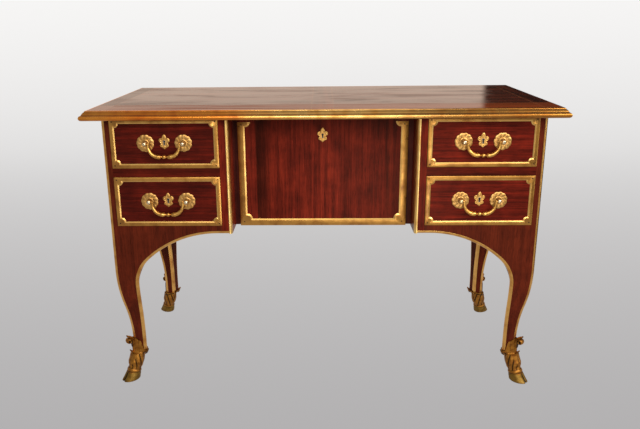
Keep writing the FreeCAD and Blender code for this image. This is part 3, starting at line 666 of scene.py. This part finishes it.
# Escutcheons: cast gilt plates with a pointed leaf above, two ears and a shield that ends in a point, pinned
# over the keyhole. A steel tube lines the keyhole.
def arc_through(start, middle, end, steps):
    """Points on the round line through three points, without the last."""
    (ax, az), (bx, bz), (cx, cz) = start, middle, end
    d = 2 * (ax * (bz - cz) + bx * (cz - az) + cx * (az - bz))
    a, b, c = ax * ax + az * az, bx * bx + bz * bz, cx * cx + cz * cz
    hub = Vector(((a * (bz - cz) + b * (cz - az) + c * (az - bz)) / d,
                  (a * (cx - bx) + b * (ax - cx) + c * (bx - ax)) / d))
    first = Vector(start) - hub
    swing_angle = 2 * first.angle_signed(Vector(middle) - hub)
    return [hub + Matrix.Rotation(-swing_angle * step / steps, 2) @ first for step in range(steps)]


# corners of the right half from the top down, and a point on the round line between each and the next
shield_corners = ((0, 1), (0.37, 0.64), (0.4, 0.45), (0.86, 0.42), (0.8, -0.06), (0.68, -0.28), (0.62, -0.68),
                  (0, -1))
shield_swells = ((0.23, 0.86), (0.41, 0.54), (0.62, 0.52), (1.0, 0.18), (0.66, -0.16), (0.8, -0.46),
                 (0.34, -0.78))
arc_steps = 7


def shield_line(half_width, half_height):
    right = []
    for arc in zip(shield_corners[:-1], shield_swells, shield_corners[1:]):
        right += arc_through(*[(x * half_width, z * half_height) for x, z in arc], arc_steps)
    left = [Vector((-point.x, point.y)) for point in reversed(right[1:])]
    return right + [Vector((0, -half_height))] + left


shield_width = 0.94
# share of the outline, height
plate_steps = ((0.98, 0), (1, 0.7), (0.95, 1.3), (0.88, 1.6), (0.8, 1.4), (0.7, 1.1))
# place across and up, half width, half height
bosses = ((0, 12.6, 2.8, 4.4), (-10.2, 3.2, 2.4, 2.8), (10.2, 3.2, 2.4, 2.8), (-8.0, -7.4, 2.4, 2.8),
          (8.0, -7.4, 2.4, 2.8), (0, -13.0, 2.8, 3.2))
boss_height = 0.8 * mm
boss_seat = 1.0 * mm
hole_rise = 1.5 * mm
hole_radius = 2.4 * mm
hole_steps = 16
slot_half = 1.4 * mm
slot_end = 8.2 * mm
neck = math.pi - math.asin(slot_half / hole_radius)
hole = [Vector((math.sin(angle), math.cos(angle))) * hole_radius
        for angle in [neck * (2 * step / hole_steps - 1) for step in range(hole_steps + 1)]]
hole += [Vector((slot_half, -slot_end)), Vector((-slot_half, -slot_end))]
# growth of the keyhole's line, height
bore_steps = ((0.5, 1.2), (0.5, 0))
lining_steps = ((0.0, -8.0), (0.0, 1.5), (0.2, 1.7), (0.45, 1.5), (0.45, -8.0))
shield_gilt = cast_brass("shield_gilt", (238, 186, 102), (204, 150, 74), (150, 102, 48))
keyhole_steel = brass("keyhole_steel", (150, 150, 148), (96, 96, 94), 0.3, 0.5)
plates = [("escutcheon_" + drawer, "drawer_" + drawer) for drawer in drawers]
for node, body in plates + [("fall_escutcheon", "fall_front")]:
    low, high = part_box(node)
    middle = (low + high) / 2
    outline = shield_line((high.x - low.x) / 2 * shield_width, (high.z - low.z) / 2)

    def plate_ring(shrink, height):
        return [(middle.x + point.x * shrink, high.y - height * mm, middle.z + point.y * shrink)
                for point in outline]

    def hole_ring(grow, height):
        return [(middle.x + point.x * (1 + grow), high.y - height * mm,
                 middle.z + hole_rise + point.y * (1 + grow * 0.5)) for point in hole]

    plate_mesh = bmesh.new()
    edge_loops = [loop_of(plate_mesh, plate_ring(*step)) for step in plate_steps]
    bridged(plate_mesh, edge_loops)
    bore_loops = [loop_of(plate_mesh, hole_ring(*step)) for step in bore_steps]
    bridged(plate_mesh, bore_loops)
    bmesh.ops.triangle_fill(plate_mesh, use_beauty=True, edges=edge_loops[-1] + bore_loops[0])
    bmesh.ops.triangle_fill(plate_mesh, use_beauty=True, edges=edge_loops[0] + bore_loops[-1])
    for x, z, half_width, half_height in bosses:
        stand = Matrix.Translation((middle.x + x * mm, high.y - boss_seat, middle.z + z * mm))
        stretch = Matrix.Diagonal((half_width * mm, boss_height, half_height * mm, 1))
        bmesh.ops.create_uvsphere(plate_mesh, u_segments=14, v_segments=10, radius=1, matrix=stand @ stretch)
    set_relief_and_shade(plate_mesh, lambda co: (high.y - co.y - 0.6 * mm) / (1.0 * mm))
    finished(node + "_shield", plate_mesh, [shield_gilt], body, "gilt_brass", node)
    lining_mesh = bmesh.new()
    moulded(lining_mesh, [hole_ring(*step) for step in lining_steps])
    finished(node + "_lining", lining_mesh, [keyhole_steel], body, "iron")


# Locks and pivots: iron box locks let into the backs of the drawer fronts and of the fall, each held by four
# screws, with the bolt drawn; and two plain iron pins on which the fall turns.
case_bevel = 0.8 * mm
back_border = 3.0 * mm
back_sink = 1.0 * mm
bolt_border = 0.3
bolt_sink = 1.2 * mm
screw_inset = 5 * mm
screw_seat = 0.7 * mm
screw_radius = 2.0 * mm
screw_face = 1.7 * mm
screw_depth = 1.2 * mm
iron_dark = brass("iron_dark", (92, 88, 84), (58, 52, 47), 0.4, 0.65)
screw_iron = brass("screw_iron", (132, 128, 122), (84, 78, 72), 0.35, 0.55)
give(iron_dark, "fall_pivot_pins")
locks = [("lock_" + drawer, "drawer_" + drawer) for drawer in drawers]
for node, body in locks + [("fall_lock", "fall_front")]:
    low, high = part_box(node)
    size = high - low
    lock_mesh = bmesh.new()
    case = Matrix.Translation((low + high) / 2) @ Matrix.Diagonal((*size, 1))
    bmesh.ops.create_cube(lock_mesh, size=1, matrix=case)
    bmesh.ops.bevel(lock_mesh, geom=lock_mesh.edges[:], offset=case_bevel, offset_type="OFFSET", segments=2,
                    affect="EDGES", profile=0.5, material=-1)
    lock_mesh.faces.ensure_lookup_table()
    back = max(lock_mesh.faces, key=lambda face: face.normal.y * face.calc_area())
    bmesh.ops.inset_region(lock_mesh, faces=[back], thickness=back_border, depth=-back_sink)
    roof = max(lock_mesh.faces, key=lambda face: face.normal.z * face.calc_area())
    bmesh.ops.inset_region(lock_mesh, faces=[roof], thickness=size.y * bolt_border, depth=-bolt_sink)
    for x in (low.x + screw_inset, high.x - screw_inset):
        for z in (low.z + screw_inset, high.z - screw_inset):
            stand = Matrix.Translation((x, high.y - screw_seat, z)) @ Matrix.Rotation(-math.pi / 2, 4, "X")
            head = bmesh.ops.create_cone(lock_mesh, cap_ends=True, segments=14, radius1=screw_radius,
                                         radius2=screw_face, depth=screw_depth, matrix=stand)
            for face in faces_of(head):
                face.material_index = 1
    finished(node + "_case", lock_mesh, [iron_dark, screw_iron], body, "iron", node)


# Hoof feet: hollow gilt castings slipped over the ends of the legs. Each has a leaf cuff with a scroll on the
# outer corner, a shaggy fetlock with a veined tongue, and a cloven hoof that points out on the diagonal.
def between(stations, place):
    """Values at a place in a table of stations, each of which starts with its own place."""
    for first, second in zip(stations[:-1], stations[1:]):
        if place <= second[0]:
            share = (place - first[0]) / (second[0] - first[0])
            return [low + (high - low) * share for low, high in zip(first[1:], second[1:])]
    return list(stations[-1][1:])


def bell(distance, width):
    return math.exp(-(distance / width) ** 2)


ankle_middle = 37.0
ankle_inset = 25.0
ankle_bead = 8.0
ankle_width = 62.5
ankle_arris = 52.3
cuff_wall = 2.0
cuff_fit = 0.1
cuff_ridge = 84.0
hoof_top = 23.0
crown_top = 31.0
shank_top = 77.0
round_steps = 96
shank_steps = 50
cuff_steps = 26
# height, shift outwards, reach to the toe, reach to the heel, half width
foot_stations = ((0.0, 33.4, 25.2, 27.0, 20.0), (1.4, 33.0, 26.2, 28.0, 21.4), (6.0, 30.3, 24.8, 26.0, 21.6),
                 (15.0, 25.7, 21.4, 22.8, 20.8), (24.0, 21.8, 18.2, 19.8, 18.8),
                 (30.0, 19.4, 16.6, 18.2, 17.6), (37.0, 16.4, 16.0, 17.4, 16.8),
                 (43.0, 13.8, 18.6, 19.2, 19.0), (53.0, 10.6, 20.6, 20.6, 20.8),
                 (64.0, 7.1, 20.0, 20.0, 20.2), (77.0, 4.0, 18.8, 18.8, 18.8))
# height, how far the toe's side stands above it
foot_tilt = ((0.0, 0.0), (8.0, 0.0), (30.0, 6.0), (40.0, 6.0), (62.0, 0.0), (80.0, 0.0))
# turn from the outer corner, height of the cuff's edge
cuff_edge = ((0.0, 125.0), (0.46, 124.0), (1.07, 119.0), (1.45, 114.0), (1.68, 88.0), (1.9, 85.0),
             (2.3, 84.0), (3.2, 83.0))


def ankle_reach(turn, grow):
    """How far the kite-shaped ankle reaches from its middle, with a wall of some thickness round it."""
    outer = ankle_inset - grow
    inner = ankle_width + grow
    spots = [(outer, outer), (inner, outer), (inner, ankle_inset + ankle_bead), (ankle_arris + grow,) * 2]
    line = [Vector(((2 * ankle_middle - u - v) / math.sqrt(2), (u - v) / math.sqrt(2))) for u, v in spots]
    ray = Vector((math.cos(turn), math.sin(turn)))
    for start, end in zip(line[:-1], line[1:]):
        edge = end - start
        slant = ray.x * edge.y - ray.y * edge.x
        share = (start.y * ray.x - start.x * ray.y) / -slant
        if -1e-6 <= share <= 1 + 1e-6:
            return (start + edge * share).length
    return line[-1].length


def foot_relief(turn, z):
    """Height of the chasing in millimetres, and its tone, below the cuff."""
    if z < hoof_top:
        cleft = bell(turn, 0.15) * min(1, (hoof_top + 4 - z) / 16)
        return -4.6 * cleft, 0.5 - 0.5 * cleft
    if z < crown_top:
        bulge = math.sin(math.pi * (z - hoof_top) / (crown_top - hoof_top))
        return 1.5 * bulge, 0.15 + 0.85 * bulge
    rise = (z - crown_top) / (shank_top - crown_top)
    tongue = min(1, max(0, (0.95 * math.sqrt(rise) - turn) / 0.14))
    vein = bell(turn, 0.08)
    side_vein = bell(turn - 0.4 * math.sqrt(rise), 0.06)
    lock = abs(math.sin(4.5 * turn + 4.0 * rise))
    height = tongue * (2.2 - 1.4 * vein) + (1 - tongue) * 1.7 * lock
    tone = tongue * (1.0 - 0.7 * vein - 0.35 * side_vein) + (1 - tongue) * lock
    return height * min(1, 5 * rise), tone


def cuff_wave(turn):
    """Nine leaves round the cuff: 1 along the middle of each and 0 between them."""
    return abs(math.cos(4.5 * turn))


def cuff_relief(turn, z, share):
    """Height of the cuff's leaves in millimetres, and their tone, at a share of the cuff's own height."""
    leaf = cuff_wave(turn) ** 0.7
    vein = bell((turn + 0.35) % 0.7 - 0.35, 0.05)
    ridge = bell(z - cuff_ridge, 2.6)
    height = 0.8 + share * (1.5 * leaf - 0.6 * vein) + 0.6 * ridge
    return height, 0.3 + 0.6 * leaf - 0.3 * vein + 0.1 * ridge


def cuff_top(turn):
    return between(cuff_edge, turn)[0] + 2.0 * cuff_wave(turn)


# each leaf or scroll's stations: out from the ankle's middle, height, half width, half thickness
scroll = [(19.5, 98, 6.0, 1.6), (20.5, 108, 7.0, 2.0)]
scroll_steps = 18
for step in range(scroll_steps + 1):
    angle = math.pi - 2.6 * math.pi * step / scroll_steps
    radius = 9.0 - 6.4 * step / scroll_steps
    half_width = 9.0 - 2.5 * step / scroll_steps
    scroll.append((29.0 + radius * math.cos(angle), 119.0 + radius * math.sin(angle), half_width, 2.5))
crest_leaf = ((17.0, 117, 7.0, 1.5), (18.5, 124, 8.0, 2.4), (22.0, 128.5, 7.5, 2.8), (27.0, 131.5, 6.5, 2.8),
              (31.0, 133.5, 5.5, 2.6), (33.5, 135.5, 4.5, 2.4), (35.0, 137.5, 2.6, 1.8))
corner_leaf = ((19.5, 80, 7.0, 2.0), (22.5, 84, 6.5, 2.6), (25.5, 87, 5.0, 2.4), (28.0, 90, 3.0, 1.8))
inner_hook = ((25.0, 75, 6.5, 1.6), (28.0, 80, 6.5, 1.8), (30.0, 85, 5.5, 2.0), (31.8, 88, 4.5, 2.2),
              (33.2, 90.5, 3.0, 1.8))
# turn from the outer corner, stations
foot_leaves = ((0, scroll), (0, crest_leaf), (0, corner_leaf), (-1.95, inner_hook), (1.95, inner_hook))
turns = [2 * math.pi * step / round_steps for step in range(round_steps)]
half_turns = [min(turn, 2 * math.pi - turn) for turn in turns]
hoof_gilt = cast_brass("hoof_gilt", (160, 124, 54), (124, 90, 37), (40, 26, 11), 0.5, 0.1)
sabot_gilt = cast_brass("sabot_gilt", (178, 122, 48), (138, 85, 31), (46, 26, 10), 0.5, 0.1)
for corner in corners:
    low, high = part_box("leg_" + corner)
    side = 1 if "left" in corner else -1
    depth = 1 if "front" in corner else -1
    outer_corner = Vector((low.x if side > 0 else high.x, low.y if depth > 0 else high.y))
    foot_mesh = bmesh.new()
    tones = foot_mesh.verts.layers.float.new("relief_and_shade")

    def foot_spot(out, aside, z):
        """A place given by its distance out on the leg's diagonal, square to that, and above the floor."""
        u = ankle_middle + (aside - out) / math.sqrt(2)
        v = ankle_middle - (aside + out) / math.sqrt(2)
        return Vector((outer_corner.x + side * u * mm, outer_corner.y + depth * v * mm, z * mm))

    def round_spot(reach, turn, z):
        return foot_spot(reach * math.cos(turn), reach * math.sin(turn), z)

    def toned_loop(spots):
        loop = loop_of(foot_mesh, [spot for spot, tone in spots])
        for edge, (spot, tone) in zip(loop, spots):
            edge.verts[0][tones] = min(1, max(0, tone))
        return loop

    loops = []
    for step in range(shank_steps + 1):
        z = shank_top * step / shank_steps
        shift, toe, heel, half = between(foot_stations, z)
        tilt = between(foot_tilt, z)[0]
        spots = []
        for turn, half_turn in zip(turns, half_turns):
            height, tone = foot_relief(half_turn, z)
            length = (toe if math.cos(turn) > 0 else heel) + height
            spot = foot_spot(shift + length * math.cos(turn), (half + height) * math.sin(turn),
                             z + tilt * math.cos(turn))
            spots.append((spot, tone))
        loops.append(toned_loop(spots))
    for step in range(1, cuff_steps + 1):
        share = step / cuff_steps
        spots = []
        for turn, half_turn in zip(turns, half_turns):
            z = shank_top + share * (cuff_top(half_turn) - shank_top)
            height, tone = cuff_relief(half_turn, z, share)
            flare = min(1, (z - shank_top) / 5)
            shank = foot_stations[-1][1] * math.cos(turn) + foot_stations[-1][2]
            reach = shank + flare * (ankle_reach(half_turn, cuff_wall) - shank) + height * flare
            spots.append((round_spot(reach, turn, z), tone))
        loops.append(toned_loop(spots))
    # The cuff's lip and its inner wall take tone 0, the hollow colour: painted shadow on the lip.
    for share in (0.0, 0.5, 1.0):
        spots = []
        for turn, half_turn in zip(turns, half_turns):
            top = cuff_top(half_turn)
            z = top + share * (shank_top + 0.5 - top)
            spots.append((round_spot(ankle_reach(half_turn, cuff_fit), turn, z), 0.0))
        loops.append(toned_loop(spots))
    capped(foot_mesh, loops)

    def curled_leaf(heading, stations, sides=12):
        """A leaf or scroll that curls in an upright plane through the ankle's middle."""
        loops = []
        for index, (out, z, half_width, half_thick) in enumerate(stations):
            before = stations[max(0, index - 1)]
            after = stations[min(len(stations) - 1, index + 1)]
            along = Vector((after[0] - before[0], after[1] - before[1])).normalized()
            spots = []
            for step in range(sides):
                angle = 2 * math.pi * step / sides
                rise = half_thick * math.cos(angle)
                aside = half_width * math.sin(angle)
                reach = out - along.y * rise
                spot = foot_spot(reach * math.cos(heading) - aside * math.sin(heading),
                                 reach * math.sin(heading) + aside * math.cos(heading), z + along.x * rise)
                spots.append((spot, 0.55 + 0.4 * math.cos(angle)))
            loops.append(toned_loop(spots))
        capped(foot_mesh, loops)

    for heading, stations in foot_leaves:
        curled_leaf(heading, stations)
    for face in foot_mesh.faces:
        face.material_index = 1 if face.calc_center_median().z < hoof_top * mm else 0
    finished("sabot_" + corner, foot_mesh, [sabot_gilt, hoof_gilt], "carcass", "gilt_brass",
             "hoof_foot_" + corner)


# Studio: a floor of pale paper that sweeps up into the backdrop, two large soft lamps, two small ones close
# to the desk that cast no shadow, and a weak even light. The paper is not lit but glows at its own painted
# tone, darker at the front and paler at the back, and it isn't sampled as a lamp, which would speckle the
# brass.
def stage_finish(name, near_tone, far_tone, start, end, paper_end):
    """Paper that glows at a painted tone, paler towards the back, instead of being lit. In a polished surface
    it is seen as far as the end of the roll, with a painted warm tint.
    """
    finish, tree, point = new_finish(name)
    axes = shade(tree, "SeparateXYZ", {"Vector": point}).outputs
    place = shade(tree, "Math", {0: axes["Y"], 1: axes["Z"]}, operation="ADD").outputs["Value"]
    tone = ramp(tree, spread(tree, place, start, end), (0.0, near_tone), (1.0, far_tone))
    # Painted reflection: a warm tint on the paper as polished surfaces see it, warmer higher up.
    cast = ramp(tree, axes["Z"], (0.0, (1.0, 0.95, 0.88, 1)), (1.0, (1.0, 0.78, 0.63, 1)))
    within = spread(tree, axes["X"], paper_end, paper_end + 0.05, low=1.0, high=0.03)
    paper = shade(tree, "BsdfPrincipled", {"Base Color": tone, "Roughness": 0.9, "Specular IOR Level": 0.1})
    glow = shade(tree, "Emission", {"Color": tone, "Strength": 1.0})
    warm = blend(tree, 1.0, tone, cast, "MULTIPLY")
    mirrored = shade(tree, "Emission", {"Color": warm, "Strength": within})
    path = shade(tree, "LightPath").outputs
    seen = shade(tree, "MixShader", {0: path["Is Camera Ray"], 1: paper.outputs["BSDF"],
                                     2: glow.outputs["Emission"]})
    mixed = shade(tree, "MixShader", {0: path["Is Glossy Ray"], 1: seen.outputs["Shader"],
                                      2: mirrored.outputs["Emission"]})
    shade(tree, "OutputMaterial", {"Surface": mixed.outputs["Shader"]})
    finish.cycles.emission_sampling = "NONE"
    return finish


floor_half = 6.0
floor_front = -5.0
floor_back = 3.0
bend = 1.2
bend_steps = 12
backdrop_top = 6.0
sweep_line = [(floor_front, 0), (floor_back, 0)]
for step in range(1, bend_steps + 1):
    angle = math.pi / 2 * step / bend_steps
    sweep_line.append((floor_back + bend * math.sin(angle), bend - bend * math.cos(angle)))
sweep_line.append((floor_back + bend, backdrop_top))
sweep_mesh = bmesh.new()
bridged(sweep_mesh, [loop_of(sweep_mesh, [(x, y, z) for y, z in sweep_line], closed=False)
                     for x in (-floor_half, floor_half)])
bmesh.ops.recalc_face_normals(sweep_mesh, faces=sweep_mesh.faces)
sweep_shape = bpy.data.meshes.new("studio_sweep")
sweep_mesh.to_mesh(sweep_shape)
sweep_mesh.free()
sweep_shape.shade_smooth()
sweep_shape.materials.append(stage_finish("studio_paper", colour(168, 166, 167), colour(247, 246, 245),
                                          start=-1.2, end=5.4, paper_end=1.43))
studio_sweep = bpy.data.objects.new("studio_sweep", sweep_shape)
bpy.context.scene.collection.objects.link(studio_sweep)


def lamp(name, place, aim, width, height, power, tone, shadows=True):
    light = bpy.data.lights.new(name, "AREA")
    light.shape = "RECTANGLE"
    light.size = width
    light.size_y = height
    light.energy = power
    light.color = tone
    light.use_shadow = shadows
    holder = bpy.data.objects.new(name, light)
    holder.location = place
    holder.rotation_euler = (Vector(aim) - Vector(place)).to_track_quat("-Z", "Y").to_euler()
    bpy.context.scene.collection.objects.link(holder)


lamp("key_lamp", (0.1, -3.1, 1.9), (0, 0, 0.5), 1.6, 1.3, 38, (1.0, 0.96, 0.9))
lamp("fill_lamp", (2.4, -2.4, 2.2), (0, 0, 0.5), 1.4, 1.4, 64, (1.0, 0.97, 0.93))
lamp("low_lamp", (0.3, -1.65, 0.2), (-0.25, -0.25, 0.6), 0.5, 0.4, 2.2, (1.0, 0.95, 0.86), shadows=False)
lamp("side_lamp", (2.05, -1.2, 0.3), (0.5, -0.25, 0.5), 0.9, 0.6, 1.7, (1.0, 0.95, 0.86), shadows=False)

world = bpy.data.worlds.new("studio_air")
world.use_nodes = True
air = world.node_tree
air.nodes.clear()
even = shade(air, "Background", {"Color": (1.0, 0.98, 0.95, 1), "Strength": 0.35})
seen = shade(air, "Background", {"Color": colour(236, 235, 234), "Strength": 1.0})
straight = shade(air, "LightPath").outputs["Is Camera Ray"]
mixed = shade(air, "MixShader", {0: straight, 1: even.outputs["Background"], 2: seen.outputs["Background"]})
shade(air, "OutputWorld", {"Surface": mixed.outputs["Shader"]})
bpy.context.scene.world = world
bpy.context.scene.view_settings.view_transform = "Standard"


# Camera: two metres in front of the desk and one above the floor, close to its middle line, tilted down. Its
# lens, place and angles were fitted to straight edges of the desk in the photograph.
image_width = 640
image_height = 429
focal_pixels = 673.8
axis_pixel = (303.84, 215.83)
eye_place = (-0.00036, -1.98127, 1.0135)
heading, tilt_down, lean = 1.675, 16.603, -0.631
sight = bpy.data.cameras.new("photo_camera")
sight.sensor_fit = "HORIZONTAL"
sight.sensor_width = 36.0
sight.lens = focal_pixels / image_width * sight.sensor_width
sight.shift_x = (image_width / 2 - axis_pixel[0]) / image_width
sight.shift_y = (axis_pixel[1] - image_height / 2) / image_width
turn = Matrix.Rotation(math.radians(heading), 4, "Z")
tilt = Matrix.Rotation(math.radians(90 - tilt_down), 4, "X")
roll = Matrix.Rotation(math.radians(lean), 4, "Z")
camera = bpy.data.objects.new("photo_camera", sight)
camera.matrix_world = Matrix.Translation(eye_place) @ turn @ tilt @ roll
bpy.context.scene.collection.objects.link(camera)
bpy.context.scene.camera = camera
